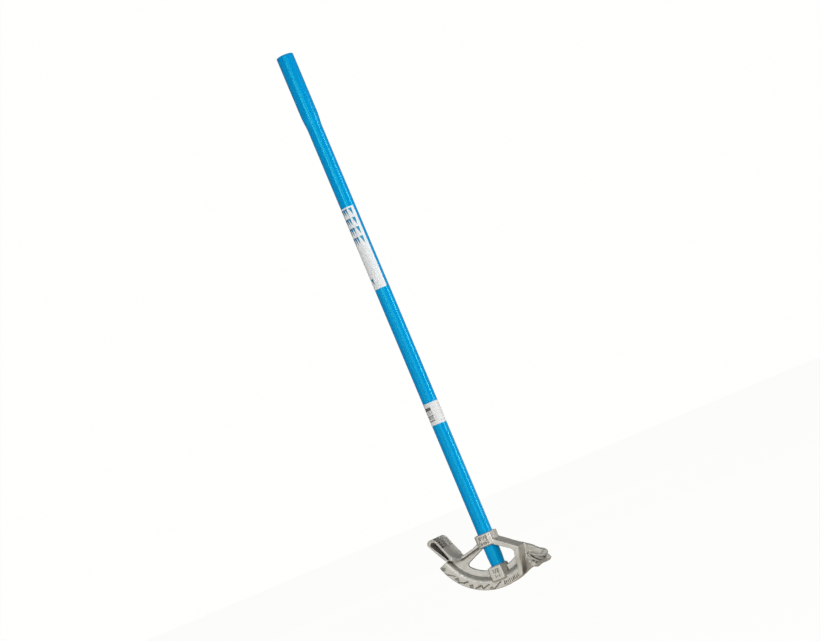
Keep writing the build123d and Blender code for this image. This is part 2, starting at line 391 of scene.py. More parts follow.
def hook():
    """Plate behind the conduit, and the claw with two raised lips that curls under the conduit."""
    back_edge = [(51.4, 54.9), (59.2, 50.9), (66.6, 46.0), (70.4, 41.9), (75.6, 37.3)]
    plate = slab(
        [(44, 57), *back_edge, (82.3, 33.4), (85.8, 31.4), (87.0, 28.0), (84.6, 23.6), (80, 15), (70, 12.6),
         (65, 11.0), (59, 10.4), (53, 12.6), (46, 12.4), (42, 20), (44, 40)],
        plate_front, plate_back, 0.7, {3: 5.0, 4: 4.0, 6: 4.0, 7: 2.0},
    )
    lean = (Y - plate_front) / 8.0
    thick = polygon(
        [(44, 57.6), *back_edge, (82.0, 33.6), (85.4, 31.4), (84, 28), (71, 35), (65, 42), (58, 46),
         (44, 52)],
        X + 1.6 * lean, Z - 2.4 * lean,
    )
    rim = inside_edges(thick, layer(Y, plate_front, rim_back), 0.7)
    upper_lip = rods([
        (55.4, 11.8, 38.2, 1.7), (56.4, 10.6, 36.4, 2.0), (59.9, 10.2, 34.6, 2.2), (62.9, 10.2, 31.9, 2.2),
        (66.7, 10.5, 29.0, 2.3), (71.4, 10.7, 26.6, 2.3), (76.9, 10.9, 23.6, 2.4), (81.6, 10.8, 23.6, 2.6),
        (86.4, 8.6, 21.4, 2.8), (87.6, 5.6, 19.4, 2.8)])
    lower_lip = rods([
        (54.2, 11.0, 35.6, 1.8), (55.1, 10.8, 30.6, 1.9), (58.1, 10.4, 26.2, 2.0), (62.0, 10.2, 22.2, 2.1),
        (68.5, 9.4, 17.4, 2.2), (74.6, 7.6, 15.2, 2.3), (81.0, 4.6, 15.0, 2.4)])
    belly = rods([
        (52.5, 13.0, 16.4, 2.4), (61.6, 10.8, 13.6, 4.0), (67.4, 10.4, 14.6, 3.0), (74.0, 9.0, 15.8, 3.0),
        (80.3, 6.6, 16.4, 3.2), (85.6, 4.4, 17.8, 3.8)])
    tip = slab([(87.0, 24.4), (90.3, 20.8), (92.6, 17.2), (87.8, 13.2), (82.4, 13.4), (82.0, 18.0)],
               1.4, 7.5, 0.9)
    pad = slab([(73.8, 28.6), (79.0, 32.6), (84.4, 32.8), (86.8, 31.0), (87.4, 28.2), (85.4, 24.6),
                (79.8, 23.4)], 8.6, plate_back, 1.2, {2: 2.0, 3: 2.0})
    made = joined(plate, rim, 0.4)
    for piece, fillet in ((upper_lip, 0.9), (lower_lip, 0.9), (belly, 1.3), (tip, 1.3), (pad, 1.3)):
        made = joined(made, piece, fillet)
    trough = rods([(59.0, 10.6, 31.2, 1.2), (63.4, 10.8, 27.4, 2.8), (69.6, 10.9, 22.6, 3.6),
                   (74.6, 10.4, 19.8, 3.5), (78.6, 9.0, 18.8, 2.9)])
    corner = rods([(60.0, 10.3, 37.6, 0.8), (65.0, 10.2, 35.0, 1.2), (70.4, 10.0, 30.2, 1.4),
                   (75.8, 9.8, 29.4, 1.6), (80.6, 10.0, 33.4, 1.8)])
    return cut(cut(made, trough, 0.7), corner, 0.6)


def groove_block():
    """Flat pad on the far wall where the groove ends."""
    return slab([(56.2, 22.8), (59.7, 16.8), (52.9, 12.3), (49.2, 18.6)], 8.6, 14.0, 0.4)


def groove_mouth():
    """Scoop in the leg's outer face above the end of the groove."""
    reach_x, reach_z = mouth_half * cos(mouth_slope), mouth_half * sin(mouth_slope)
    inner = (mouth_x - reach_x, 0.0, mouth_z - reach_z)
    outer = (mouth_x + reach_x, 0.0, mouth_z + reach_z)
    return rod(inner, outer, mouth_radius, mouth_radius)


# Marks cast into the near side of the shoe and the two pads, in (x, z). Rows of characters have their
# middle and their height, and on the shoe a turn in degrees
digit_strokes = {
    "0": [[(0, 0), (1, 0), (1, 2), (0, 2), (0, 0)]],
    "1": [[(0.2, 1.6), (0.6, 2), (0.6, 0)]],
    "2": [[(0, 2), (1, 2), (1, 1), (0, 1), (0, 0), (1, 0)]],
    "3": [[(0, 2), (1, 2), (1, 0), (0, 0)], [(0.2, 1), (1, 1)]],
    "4": [[(0, 2), (0, 1), (1, 1)], [(1, 2), (1, 0)]],
    "5": [[(1, 2), (0, 2), (0, 1), (1, 1), (1, 0), (0, 0)]],
    "6": [[(1, 2), (0, 2), (0, 0), (1, 0), (1, 1), (0, 1)]],
    "/": [[(0, -0.2), (1, 2.2)]],
    "-": [[(0, 1), (1, 1)]],
    "i": [[(0.4, 0), (0.6, 2)]],
}


def number_strokes(text, centre, height, turn=0.0):
    """Lines of a row of digits, as wide as suits its height, centred and turned by some degrees."""
    size = height / 2
    pitch = 1.55 * size
    width = pitch * (len(text) - 1) + size
    c, s = cos(radians(turn)), sin(radians(turn))
    lines = []
    for place, letter in enumerate(text):
        for stroke in digit_strokes[letter]:
            line = []
            for u, v in stroke:
                a, b = u * size + place * pitch - width / 2, (v - 1) * size
                line.append((centre[0] + a * c - b * s, centre[1] + a * s + b * c))
            lines.append(line)
    return lines


shoe_marks = [
    ([(-98.6, 62.0), (-90.0, 55.6), (-77.4, 47.6)], 0.75),
    ([(-79.6, 36.2), (-73.6, 35.0), (-67.0, 31.4), (-59.0, 31.0)], 0.75),
    ([(-50.6, 15.6), (-38.4, 16.2), (-37.8, 10.6), (-24.6, 13.6)], 0.75),
    ([(-23.4, 0.8), (-14.0, 5.4), (-3.4, 10.6)], 0.8),
]
shoe_numbers = [("60", (-92.6, 66.2), 5.0, -22.0), ("45", (-76.4, 41.4), 5.0, -12.0),
                ("30", (-57.0, 21.4), 5.0, -8.0), ("10", (-23.6, 5.6), 4.2, 0.0)]
tick_count, tick_first, tick_turn, tick_lean = 9, 1.5, 2.05, 0.012
collar_rows = [("21/2", (0.4, 90.2), 4.8), ("5-10-i", (0.4, 80.9), 3.5)]
socket_rows = [("1/2", (-2.2, 30.6), 5.4), ("i-i", (-1.6, 21.6), 4.6)]
pad_line = [(-7.1, 94.4), (-8.4, 87.3), (-10.2, 77.6)]
collar_pip, pip_radius, pip_depth = (6.1, 84.6), 1.0, 1.6
number_half, tick_half, row_half, line_half = 0.42, 0.55, 0.38, 0.22
mark_depth = 0.6


def stroke_field(lines, half, a, b):
    """Distance to a set of drawn lines of some width."""
    best = np.full(np.broadcast(a, b).shape, far, np.float32)
    for line in lines:
        for start, end in zip(line, line[1:]):
            best = np.minimum(best, to_line(a, b, start, end)[1])
    return best - half


def shoe_drawing():
    """Field of every engraved line on the shoe's near wall."""
    fields = [stroke_field([line], half, X, Z) for line, half in shoe_marks]
    for row in shoe_numbers:
        fields.append(stroke_field(number_strokes(*row), number_half, X, Z))
    for number in range(tick_count):
        turn = radians(tick_first + tick_turn * number)
        low, high = rim_radius - 3.4, rim_radius - (8.4 if number % 3 else 9.6)
        tick = [(low * sin(turn), rim_radius - low * cos(turn)),
                (high * sin(turn + tick_lean), rim_radius - high * cos(turn + tick_lean))]
        fields.append(stroke_field([tick], tick_half, X, Z))
    return reduce(np.minimum, fields)


def pad_drawing(rows):
    """Field of the rows of characters on a pad's near face."""
    fields = [stroke_field(number_strokes(*row), row_half, X, Z) for row in rows]
    return reduce(np.minimum, [*fields, stroke_field([pad_line], line_half, X, Z)])


def engraved(metal, drawing, half, depth=mark_depth):
    """Metal without the drawn lines, cut to some depth into its near face at y = -half."""
    return np.maximum(metal, -np.maximum(drawing, Y + half - depth))


def rim_serration():
    """Fine notches in the rim's near edge, to the right of the lowest point."""
    notch = 3.2
    waves = 0.5 + 0.5 * np.cos(np.radians(rim_turn) * rim_radius * 2 * pi / notch)
    zone = rising(rim_turn, 2.0, 1.0) * falling(rim_turn, 31.0, 1.0)
    return 0.75 * waves * zone * falling(Y, -10.6, 1.0) * rising(rim_distance - rim_radius, -2.2, 1.0)


def head_field():
    """The whole casting."""
    metal = joined(shoe(), web(), 2.2)
    metal = joined(metal, joined(right_strut(), leg(), 0.8), 1.4)
    metal = joined(metal, pedal_and_left_strut(), 1.0)
    metal = joined(metal, hook(), 3.6)
    collar = boss(collar_radius, collar_pad, collar_bottom, collar_top, collar_corner, collar_shift)
    socket = boss(socket_radius, socket_pad, socket_bottom, socket_top, socket_corner, socket_shift)
    metal = joined(joined(metal, collar, 1.8), socket, 1.6)
    metal = cut(metal, post(collar_bore, socket_top, collar_top + far), 0.6)
    metal = cut(metal, post(socket_bore, pipe_low.z - 2.0, socket_top + 1.0), 0.5)
    conduit = conduit_space()
    metal = cut(cut(metal, conduit, 0.9), groove_mouth(), 1.0)
    metal = joined(metal, cut(groove_block(), conduit), 0.3)
    metal = engraved(metal, shoe_drawing(), shoe_half)
    metal = engraved(metal, pad_drawing(collar_rows), collar_pad[1])
    metal = engraved(metal, pad_drawing(socket_rows), socket_pad[1])
    pip = np.hypot(X - collar_pip[0], Z - collar_pip[1]) - pip_radius
    metal = engraved(metal, pip, collar_pad[1], pip_depth)
    return (metal + rim_serration()).astype(np.float32)


# ---- From a field to a mesh

corner_places = np.array([(i, j, k) for i in (0, 1) for j in (0, 1) for k in (0, 1)])
cell_edges = [(a, b) for a in range(8) for b in range(a + 1, 8)
              if np.abs(corner_places[a] - corner_places[b]).sum() == 1]


def surface_net(field):
    """Vertices in millimetres and four-sided faces of the field's zero surface."""
    inside = field < 0
    nx, ny, nz = field.shape
    count = np.zeros((nx - 1, ny - 1, nz - 1), np.int8)
    for i, j, k in corner_places:
        count += inside[i:nx - 1 + i, j:ny - 1 + j, k:nz - 1 + k]
    active = (count > 0) & (count < 8)
    cells = np.argwhere(active)
    index = np.full(active.shape, -1, np.int64)
    index[active] = np.arange(len(cells))
    values = np.stack([field[tuple((cells + place).T)] for place in corner_places], axis=1)
    total, hits = np.zeros((len(cells), 3)), np.zeros(len(cells))
    for a, b in cell_edges:
        crossing = (values[:, a] < 0) != (values[:, b] < 0)
        share = values[crossing, a] / (values[crossing, a] - values[crossing, b])
        step = corner_places[b] - corner_places[a]
        total[crossing] += corner_places[a] + share[:, None] * step
        hits[crossing] += 1
    places = grid_origin + (cells + total / hits[:, None]) * voxel
    faces = []
    for axis in range(3):
        second, third = (axis + 1) % 3, (axis + 2) % 3
        first = np.moveaxis(inside, (axis, second, third), (0, 1, 2))
        ids = np.moveaxis(index, (axis, second, third), (0, 1, 2))
        leaving = first[:-1, 1:-1, 1:-1] & ~first[1:, 1:-1, 1:-1]
        entering = ~first[:-1, 1:-1, 1:-1] & first[1:, 1:-1, 1:-1]
        for crossing, order in ((leaving, (0, 1, 2, 3)), (entering, (3, 2, 1, 0))):
            i, j, k = np.nonzero(crossing)
            ring = [ids[i, j, k], ids[i, j + 1, k], ids[i, j + 1, k + 1], ids[i, j, k + 1]]
            faces.append(np.stack([ring[number] for number in order], axis=1))
    return places, np.concatenate(faces)


def interpolated(values, base, share):
    """Values at a share of the way between grid points, on a grid that repeats."""
    total = np.zeros(len(base))
    for place in corner_places:
        weight = np.prod(np.where(place, share, 1 - share), axis=1)
        total += weight * values[tuple(((base + place) % values.shape).T)]
    return total


def sample(field, places):
    """Field's value at points in millimetres."""
    at = np.clip((places - grid_origin) / voxel, 0, np.array(field.shape) - 1.001)
    base = at.astype(int)
    return interpolated(field, base, at - base)


def slope(field, places, step=0.5):
    """Direction in which the field grows at points in millimetres, of unit length."""
    steps = step * np.eye(3)
    grown = np.stack([sample(field, places + by) - sample(field, places - by) for by in steps], axis=1)
    return grown / np.maximum(np.linalg.norm(grown, axis=1, keepdims=True), 1e-6)


def settled(field, places, times=2):
    """Points moved onto the zero surface."""
    for _ in range(times):
        places = places - slope(field, places) * np.clip(sample(field, places), -0.5, 0.5)[:, None]
    return places


def lumps(places, cell, seed):
    """Smooth random values from -1 to 1 at points in millimetres, on cells of one size."""
    values = np.random.default_rng(seed).uniform(-1, 1, (64, 64, 64))
    at = places / cell + 1000.0
    base = np.floor(at).astype(int)
    share = at - base
    return interpolated(values, base, share * share * (3 - 2 * share))


def mesh_from(name, places, faces):
    """Mesh of vertices in millimetres and faces with one number of corners."""
    mesh = bpy.data.meshes.new(name)
    corners = faces.shape[1]
    mesh.vertices.add(len(places))
    mesh.vertices.foreach_set("co", (np.asarray(places) * MM).astype(np.float32).ravel())
    mesh.loops.add(faces.size)
    mesh.loops.foreach_set("vertex_index", faces.astype(np.int32).ravel())
    mesh.polygons.add(len(faces))
    mesh.polygons.foreach_set("loop_start", np.arange(0, faces.size, corners, dtype=np.int32))
    mesh.update(calc_edges=True)
    mesh.polygons.foreach_set("use_smooth", np.ones(len(faces), bool))
    mesh.validate()
    return mesh


def added(name, data):
    """New object in the scene."""
    made = bpy.data.objects.new(name, data)
    bpy.context.scene.collection.objects.link(made)
    return made


def new_piece(name, mesh, material, body, replaced):
    """Object of a mesh that rides on a body and stands for a CAD node."""
    piece = added(name, mesh)
    mesh.materials.append(material)
    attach(piece, body)
    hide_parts(replaced)
    return piece


def set_values(mesh, name, values):
    """Number on each vertex that a material can read."""
    stored = mesh.attributes.new(name, "FLOAT", "POINT")
    stored.data.foreach_set("value", np.asarray(values, np.float32))


def vertex_places(mesh):
    """Mesh's vertices in millimetres."""
    flat = np.zeros(len(mesh.vertices) * 3, np.float32)
    mesh.vertices.foreach_get("co", flat)
    return flat.reshape(-1, 3).astype(float) / MM


def thinned(mesh, wanted):
    """Mesh with about the wanted number of triangles, fewest where it is flat."""
    holder = added("thinning", mesh)
    thin = holder.modifiers.new("thin", "DECIMATE")
    thin.ratio = min(1.0, wanted / (2 * len(mesh.polygons)))
    shown = holder.evaluated_get(bpy.context.evaluated_depsgraph_get())
    made = bpy.data.meshes.new_from_object(shown)
    bpy.data.objects.remove(holder)
    return made


def openness(field, places, normals):
    """From 0 in a deep corner to 1 where nothing is near, by looking out to several distances."""
    total, weights = np.zeros(len(places)), 0.0
    for reach, weight in ((1.2, 1.0), (2.5, 1.2), (5.0, 1.2), (10.0, 0.8)):
        seen = np.clip(sample(field, places + normals * reach) / reach, 0, 1)
        total += weight * seen
        weights += weight
    return total / weights


def mouth_shade(places):
    """How much painted shade the mouth of the groove gets: none at its edge, most at its lower end."""
    x, y, z = places.T
    along = (x - mouth_x) * cos(mouth_slope) + (z - mouth_z) * sin(mouth_slope)
    down = (x - mouth_x) * sin(mouth_slope) - (z - mouth_z) * cos(mouth_slope)
    from_wall = np.abs(np.hypot(down, y) - mouth_radius)
    inside = falling(from_wall, 1.3, 0.8) * falling(along, 13.0, 5.0)
    in_groove = falling(np.abs(y), 9.6, 1.0) * rising(x, 26.0, 8.0) * falling(x, 47.0, 4.0)
    in_groove = in_groove * falling(z, 26.0, 5.0)
    beside = rising(y, 7.6, 1.0) * falling(y, 12.6, 1.0) * rising(x, 42.0, 3.0)
    beside = beside * falling(x, 52.6, 4.0) * falling(z, 33.0, 6.0)
    low = falling(z, 33.0, 18.0)
    return np.maximum(np.maximum(inside, in_groove) * (0.55 + 0.45 * low), 0.45 * beside)


def pedal_core(places):
    """1 inside the pedal's hollow, down to 0 at its two open sides."""
    x, y, z = places.T
    return falling(polygon(pedal_hollow, x, z), 1.6, 1.0) * falling(np.abs(y), pedal_half - 1.0, 5.0)


def painted_shade_share(field, places, normals):
    """How dark the painted shade is: in the groove's mouth, in the pedal's hollow and tread pits, under the
    flange, on undersides and on the hook.
    """
    x, y, z = places.T
    # Painted shade in the pedal's hollow, from part way up it to the top.
    core = pedal_core(places) * 0.7 * rising(z, 88.0, 22.0)
    # Painted shade in the tread's pits, stronger in the near column than in the others.
    pits = sample(np.broadcast_to(tread_pits(), field.shape), places) / pit_depth
    pits = pits * (0.75 - 0.4 * rising(y, -10.0, 6.0))
    # Painted shade on faces that look down, above the shoe's channel and on the hook.
    off_rim = falling(np.hypot(x, z - rim_radius), 88.0, 3.0) + rising(x, 58.0, 4.0)
    underside = 0.35 * np.clip(-normals[:, 2] * 1.6 - 0.3, 0, 1) * np.clip(off_rim, 0, 1)
    # Painted shadow of the left strut's flange, on the web just below it.
    flange_line = [(-53.0, 70.0), (-48.8, 71.4), (-22.0, 77.4), (-13.0, 78.0)]
    from_flange = stroke_field([flange_line], 0.0, x, z)
    under_flange = 0.36 * np.clip(1.15 - from_flange / 3.8, 0, 1)
    under_flange = under_flange * (np.abs(y) < flange_half - 0.6) * (z < 78.0)
    # Painted shade on the hook: a little all over, more on faces that look up, and more on its lower part.
    hook_top = rising(x, 58.0, 8.0) * (0.06 + 0.2 * np.clip(normals[:, 2] * 2.0, 0, 1))
    hook_low = 0.3 * (falling(z, 27.5, 4.0) * rising(x, 60.5, 2.0))
    # Painted shade in the groove's mouth.
    mouth = 0.68 * mouth_shade(places)
    return reduce(np.maximum, (mouth, core, pits, underside, under_flange, hook_top, hook_low))


def bending_head():
    """The casting's mesh, with what its material reads at each vertex, and faint casting lumps."""
    field = head_field()
    places, faces = surface_net(field)
    places = settled(field, places)
    mesh = thinned(mesh_from("bending_head", places, faces), kept_faces)
    mesh.name = "bending_head"
    places = vertex_places(mesh)
    normals = slope(field, places)
    x, y, z = places.T
    drawings = reduce(np.minimum, (shoe_drawing(), pad_drawing(collar_rows), pad_drawing(socket_rows)))
    drawn = sample(np.broadcast_to(drawings, field.shape), places)
    on_face = (y < -shoe_half + 1.2) & (y > -socket_pad[1] - 3)
    # Where the engraved lines are, which the material darkens as painted shade.
    set_values(mesh, "marked", np.where(on_face, np.clip(0.5 - drawn / 0.8, 0, 1), 0))
    ground_line = [(14.5, 82.8), leg_top, (42.0, 18.8), (39.0, 8.0)]
    from_ground = stroke_field([ground_line], 0.7, x, z)
    flat = np.clip((normals[:, 0] - 0.4) * 6, 0, 1) * falling(np.abs(y), strut_half + 0.3, 0.5)
    set_values(mesh, "ground", np.clip(-from_ground / 0.4 + 0.8, 0, 1) * flat)
    # Openness drives the painted brown shade in corners. It is raised inside the pedal's hollow, whose
    # painted shade comes from the next values instead.
    set_values(mesh, "openness", np.maximum(openness(field, places, normals), 0.72 * pedal_core(places)))
    # Painted shade in the groove's mouth, the pedal's hollow and pits, under the flange, on undersides and
    # on the hook.
    set_values(mesh, "painted_shade", painted_shade_share(field, places, normals))
    bumps = 0.10 * lumps(places, 9.0, 3) + 0.06 * lumps(places, 4.0, 5) + 0.03 * lumps(places, 1.8, 7)
    bore = (np.hypot(x, y) < collar_bore + 1.5) & (z > socket_bottom)
    bumps = np.where(bore | (np.abs(y) > pedal_half - 0.6), 0, bumps)
    moved = places + normals * (np.minimum(bumps, 0.05) - 0.03)[:, None]
    mesh.vertices.foreach_set("co", (moved * MM).astype(np.float32).ravel())
    mesh.update()
    return new_piece("bending_head", mesh, cast_aluminium(), "head", "head_casting")


# ---- Handle and labels

def tapered(low, high, share):
    """Value that goes smoothly from low to high as a share goes from 0 to 1."""
    share = min(max(share, 0.0), 1.0)
    return low + (high - low) * (share * share * (3 - 2 * share))


def outer_radius(z):
    """Pipe's outer radius at a height, with soft bends at the swaged grip and at the neck."""
    grip_start = pipe_high.z - grip_length
    if z > grip_start - grip_cone:
        return tapered(pipe_radius, grip_radius, (z - grip_start + grip_cone) / grip_cone)
    return tapered(neck_radius, pipe_radius, (z - neck_top) / neck_taper)


def spread(start, length, steps):
    """Values a step apart, without the first."""
    return [start + length * n / steps for n in range(1, steps + 1)]


def handle_rows():
    """(height, radius, thread share) of each ring of the pipe, up the outside and down the inside."""
    low, high = pipe_low.z, pipe_high.z
    grip_start = high - grip_length
    run_start, run_end = neck_top + neck_taper, grip_start - grip_cone
    rows = [(low + thread_step * n, outer_radius(low), 1.0) for n in range(int(thread_length / thread_step))]
    heights = [40.0, 41.5, *spread(neck_top, neck_taper, 12), *spread(run_start, run_end - run_start, 40),
               *spread(run_end, grip_cone, 16), *spread(grip_start, grip_length - 3.0, 6)]
    rows += [(z, outer_radius(z), 0.0) for z in heights]
    lip, inner_lip = 1.9, 0.8
    for turn in spread(0.0, pi / 2, 8):
        rows.append((high - lip + lip * sin(turn), grip_radius - lip + lip * cos(turn), 0.0))
    for turn in spread(0.0, pi / 2, 4):
        inside = grip_radius - pipe_wall + inner_lip * (1 - sin(turn))
        rows.append((high - inner_lip + inner_lip * cos(turn), inside, 0.0))
    for z in (high - 30, grip_start, grip_start - grip_cone / 2, run_end, run_start, neck_top, low + 0.2):
        rows.append((z, outer_radius(z) - pipe_wall, 0.0))
    return rows


def handle():
    """Pipe made as rings, with a real screw thread on its lower end."""
    rows = handle_rows()
    turns = np.arange(around) * 2 * pi / around
    places = []
    for z, radius, thread in rows:
        ring = np.full(around, radius)
        if thread:
            height = z - pipe_low.z
            phase = np.mod(height / thread_pitch - turns / (2 * pi), 1.0)
            groove = np.clip(1 - np.abs(phase - 0.5) * 2 / 0.8, 0, 1)
            lead = min(1.0, height / thread_lead)
            runout = min(1.0, max(0.0, (pipe_low.z + thread_end - z) / 2.0))
            ring = ring - groove * thread_depth * runout - 0.9 * (1 - lead)
        places.append(np.stack([ring * np.cos(turns), ring * np.sin(turns), np.full(around, z)], axis=1))
    ids = np.arange(len(rows) * around).reshape(-1, around)
    right = np.roll(ids, -1, axis=1)
    above, above_right = np.roll(ids, -1, axis=0), np.roll(right, -1, axis=0)
    faces = np.stack([ids, right, above_right, above], axis=-1).reshape(-1, 4)
    mesh = mesh_from("blue_handle", np.concatenate(places), faces)
    x, y, z = vertex_places(mesh).T
    bare = np.clip((pipe_low.z + bare_end - z) / 0.8, 0, 1)
    hidden = np.array([outer_radius(height) for height in z]) - np.hypot(x, y) > 1.6
    set_values(mesh, "bare", np.maximum(bare, np.where(hidden & (z < pipe_high.z - 60), 1.0, 0.0)))
    return new_piece("blue_handle", mesh, blue_enamel(), "handle", "handle_pipe")


def sticker(name, low_z, high_z, centre_turn, angle, corner, material, slot, replaced):
    """Printed sheet wrapped on the pipe, with rounded corners and a soft edge all round."""
    half_arc = radians(angle) / 2 * pipe_radius
    height = high_z - low_z
    rows, columns, corner_rows = 60, 64, 6
    levels = [corner * (1 - cos(pi / 2 * n / corner_rows)) for n in range(corner_rows + 1)]
    levels += [corner + (height - 2 * corner) * n / rows for n in range(1, rows)]
    levels += [height - level for level in levels[corner_rows::-1]]
    across = np.linspace(-1, 1, columns + 1)
    outer, inner, prints = [], [], []
    for level in levels:
        short = corner - min(level, height - level)
        inset = corner - sqrt(max(corner**2 - short**2, 0)) if short > 0 else 0.0
        arc = across * (half_arc - inset)
        turn = radians(centre_turn) + arc / pipe_radius
        up = np.full(len(turn), low_z + level)
        for skin, radius in ((outer, pipe_radius + print_lift), (inner, pipe_radius + 0.01)):
            skin.append(np.stack([radius * np.cos(turn), radius * np.sin(turn), up], axis=1))
        prints.append(np.stack([arc + half_arc, np.full(len(arc), height - level)], axis=1))
    count = len(levels) * (columns + 1)
    ids = np.arange(count).reshape(len(levels), columns + 1)
    a, b, c, d = ids[:-1, :-1], ids[:-1, 1:], ids[1:, 1:], ids[1:, :-1]
    front = np.stack([a, b, c, d], axis=-1).reshape(-1, 4)
    back = front[:, ::-1] + count
    border = np.concatenate([ids[0, :], ids[1:, -1], ids[-1, -2::-1], ids[-2:0:-1, 0]])
    after = np.roll(border, -1)
    sides = np.stack([border, border + count, after + count, after], axis=1)
    mesh = mesh_from(name, np.concatenate(outer + inner), np.concatenate([front, back, sides]))
    flat = np.concatenate(prints + prints)
    set_values(mesh, "print_across", flat[:, 0])
    set_values(mesh, "print_down", flat[:, 1])
    return new_piece(name, mesh, material, "handle", replaced)


# ---- Materials

class Nodes:
    """Short names for building one material's nodes."""

    def __init__(self, name):
        self.material = bpy.data.materials.new(name)
        self.material.use_nodes = True
        self.tree = self.material.node_tree

    def put(self, socket, value):
        """Links an output to a socket, or sets the socket to a plain value."""
        if isinstance(value, bpy.types.NodeSocket):
            self.tree.links.new(value, socket)
        else:
            socket.default_value = value

    def new(self, kind, *values, **settings):
        """Node with some settings, and its inputs from the first on."""
        node = self.tree.nodes.new(kind)
        for name, value in settings.items():
            setattr(node, name, value)
        for socket, value in zip(node.inputs, values):
            self.put(socket, value)
        return node

    def filled(self, node, **values):
        """Node with its inputs by name."""
        for name, value in values.items():
            self.put(node.inputs[name.replace("_", " ")], value)
        return node

    def maths(self, operation, *values):
        return self.new("ShaderNodeMath", *values, operation=operation).outputs[0]

    def times(self, *values):
        return self.fold("MULTIPLY", values)

    def minus(self, first, second):
        return self.maths("SUBTRACT", first, second)

    def fold(self, operation, values):
        """One number from many, taken in order."""
        return reduce(lambda first, second: self.maths(operation, first, second), values)

    def between(self, *values):
        """Smooth step of a value between two levels, from 0 to 1 or between two given ends."""
        return self.new("ShaderNodeMapRange", *values, interpolation_type="SMOOTHSTEP").outputs[0]

    def blend(self, share, first, second, kind="FLOAT", at=2, out=0):
        """One number from two, by a share."""
        node = self.new("ShaderNodeMix", share, data_type=kind)
        self.put(node.inputs[at], first)
        self.put(node.inputs[at + 1], second)
        return node.outputs[out]

    def mix(self, share, first, second):
        """One colour from two, by a share."""
        return self.blend(share, first, second, "RGBA", 6, 2)

    def value(self, name):
        """Number stored on the mesh's vertices."""
        return self.new("ShaderNodeAttribute", attribute_name=name).outputs["Fac"]

    def place(self, *stretch):
        """Object coordinates in millimetres, stretched along each axis."""
        given = self.new("ShaderNodeTexCoord").outputs["Object"]
        scale = [share / MM for share in stretch or (1, 1, 1)]
        return self.filled(self.new("ShaderNodeMapping"), Vector=given, Scale=scale).outputs[0]

    def noise(self, place, scale, detail=3.0, roughness=0.55):
        node = self.filled(self.new("ShaderNodeTexNoise"), Vector=place, Scale=scale, Detail=detail,
                           Roughness=roughness)
        return node.outputs["Fac"]

    def bump(self, height, strength, distance_mm):
        node = self.new("ShaderNodeBump")
        return self.filled(node, Strength=strength, Distance=distance_mm * MM, Height=height).outputs[0]

    def surface(self, **values):
        """Finished material, with the shader's own inputs by name."""
        self.filled(self.tree.nodes["Principled BSDF"], **values)
        return self.material


def cast_aluminium():
    """Tumbled sand casting: pale on open faces, painted brown shade in corners, more painted shade in
    hollows and on undersides, brushed where it is ground flat.
    """
    n = Nodes("cast_aluminium")
    place = n.place()
    ground, painted_shade = n.value("ground"), n.value("painted_shade")
    cloud = n.noise(place, 0.09, 4.0)
    grain = n.noise(place, 1.3, 4.0, 0.65)
    pale = n.mix(cloud, (0.60, 0.595, 0.55, 1), (0.74, 0.73, 0.68, 1))
    # Painted shade: a dark brown that stands for the shade in corners, mixed in where the openness is low.
    corner_shade_brown = (0.075, 0.058, 0.036, 1)
    grainy = n.maths("ADD", n.value("openness"), n.times(grain, 0.08))
    corner = n.between(grainy, 0.36, 0.96)
    colour = n.mix(corner, corner_shade_brown, pale)
    # Painted shade in the engraved lines.
    colour = n.mix(n.times(n.value("marked"), 0.75), colour, (0.10, 0.085, 0.06, 1))
    streaks = n.noise(n.place(0.35, 1.6, 0.05), 1.5, 3.0, 0.6)
    ground_colour = n.mix(n.between(streaks, 0.3, 0.7), (0.46, 0.44, 0.40, 1), (0.73, 0.71, 0.66, 1))
    colour = n.mix(ground, colour, ground_colour)
    # Painted shade: dark brown mixed in by the painted shade values, which also make the metal rougher and
    # less metallic below.
    colour = n.mix(painted_shade, colour, (0.02, 0.013, 0.006, 1))
    speck = n.between(n.noise(place, 2.6, 2.0), 0.66, 0.74)
    colour = n.mix(n.times(speck, 0.35), colour, (0.16, 0.14, 0.11, 1))
    roughness = n.between(grain, 0.3, 0.7, 0.46, 0.62)
    roughness = n.blend(ground, roughness, 0.52)
    roughness = n.blend(painted_shade, roughness, 0.9)
    normal = n.bump(n.blend(ground, grain, streaks), 0.3, 0.2)
    metal = n.blend(painted_shade, 0.9, 0.3)
    return n.surface(Base_Color=colour, Metallic=metal, Roughness=roughness, Normal=normal)


def blue_enamel():
    """Gloss enamel whose gloss and blue vary a little; bare steel thread and inside of the pipe."""
    n = Nodes("blue_enamel")
    peel = n.noise(n.place(1, 1, 0.35), 0.22, 3.0)
    drift = n.noise(n.place(0.02, 0.02, 0.004), 1.0, 2.0)
    blue = n.mix(drift, (0.0, 0.33, 0.77, 1), (0.0, 0.375, 0.82, 1))
    bare = n.value("bare")
    steel = n.mix(n.noise(n.place(), 0.8, 4.0), (0.20, 0.19, 0.17, 1), (0.42, 0.41, 0.39, 1))
    colour = n.mix(bare, blue, steel)
    return n.surface(
        Base_Color=colour, Metallic=bare, Roughness=n.between(peel, 0.3, 0.7, 0.14, 0.19),
        Specular_Tint=n.mix(bare, (0.1, 1.0, 0.75, 1), (1, 1, 1, 1)),
    )


def inside_box(n, across, down, left, right, top, bottom, soft=0.12):
    """1 inside a rectangle of the print, with slightly soft edges."""
    return n.times(
        n.between(across, left - soft, left + soft), n.between(across, right + soft, right - soft),
        n.between(down, top - soft, top + soft), n.between(down, bottom + soft, bottom - soft),
    )


def pennant(n, across, from_top, middle, half, tall):
    """1 inside a tall triangle that hangs from its short side."""
    narrowed = n.minus(1.0, n.maths("DIVIDE", from_top, tall))
    offset = n.maths("ABSOLUTE", n.minus(across, middle))
    return n.between(n.minus(offset, n.times(narrowed, half)), 0.25, -0.25)


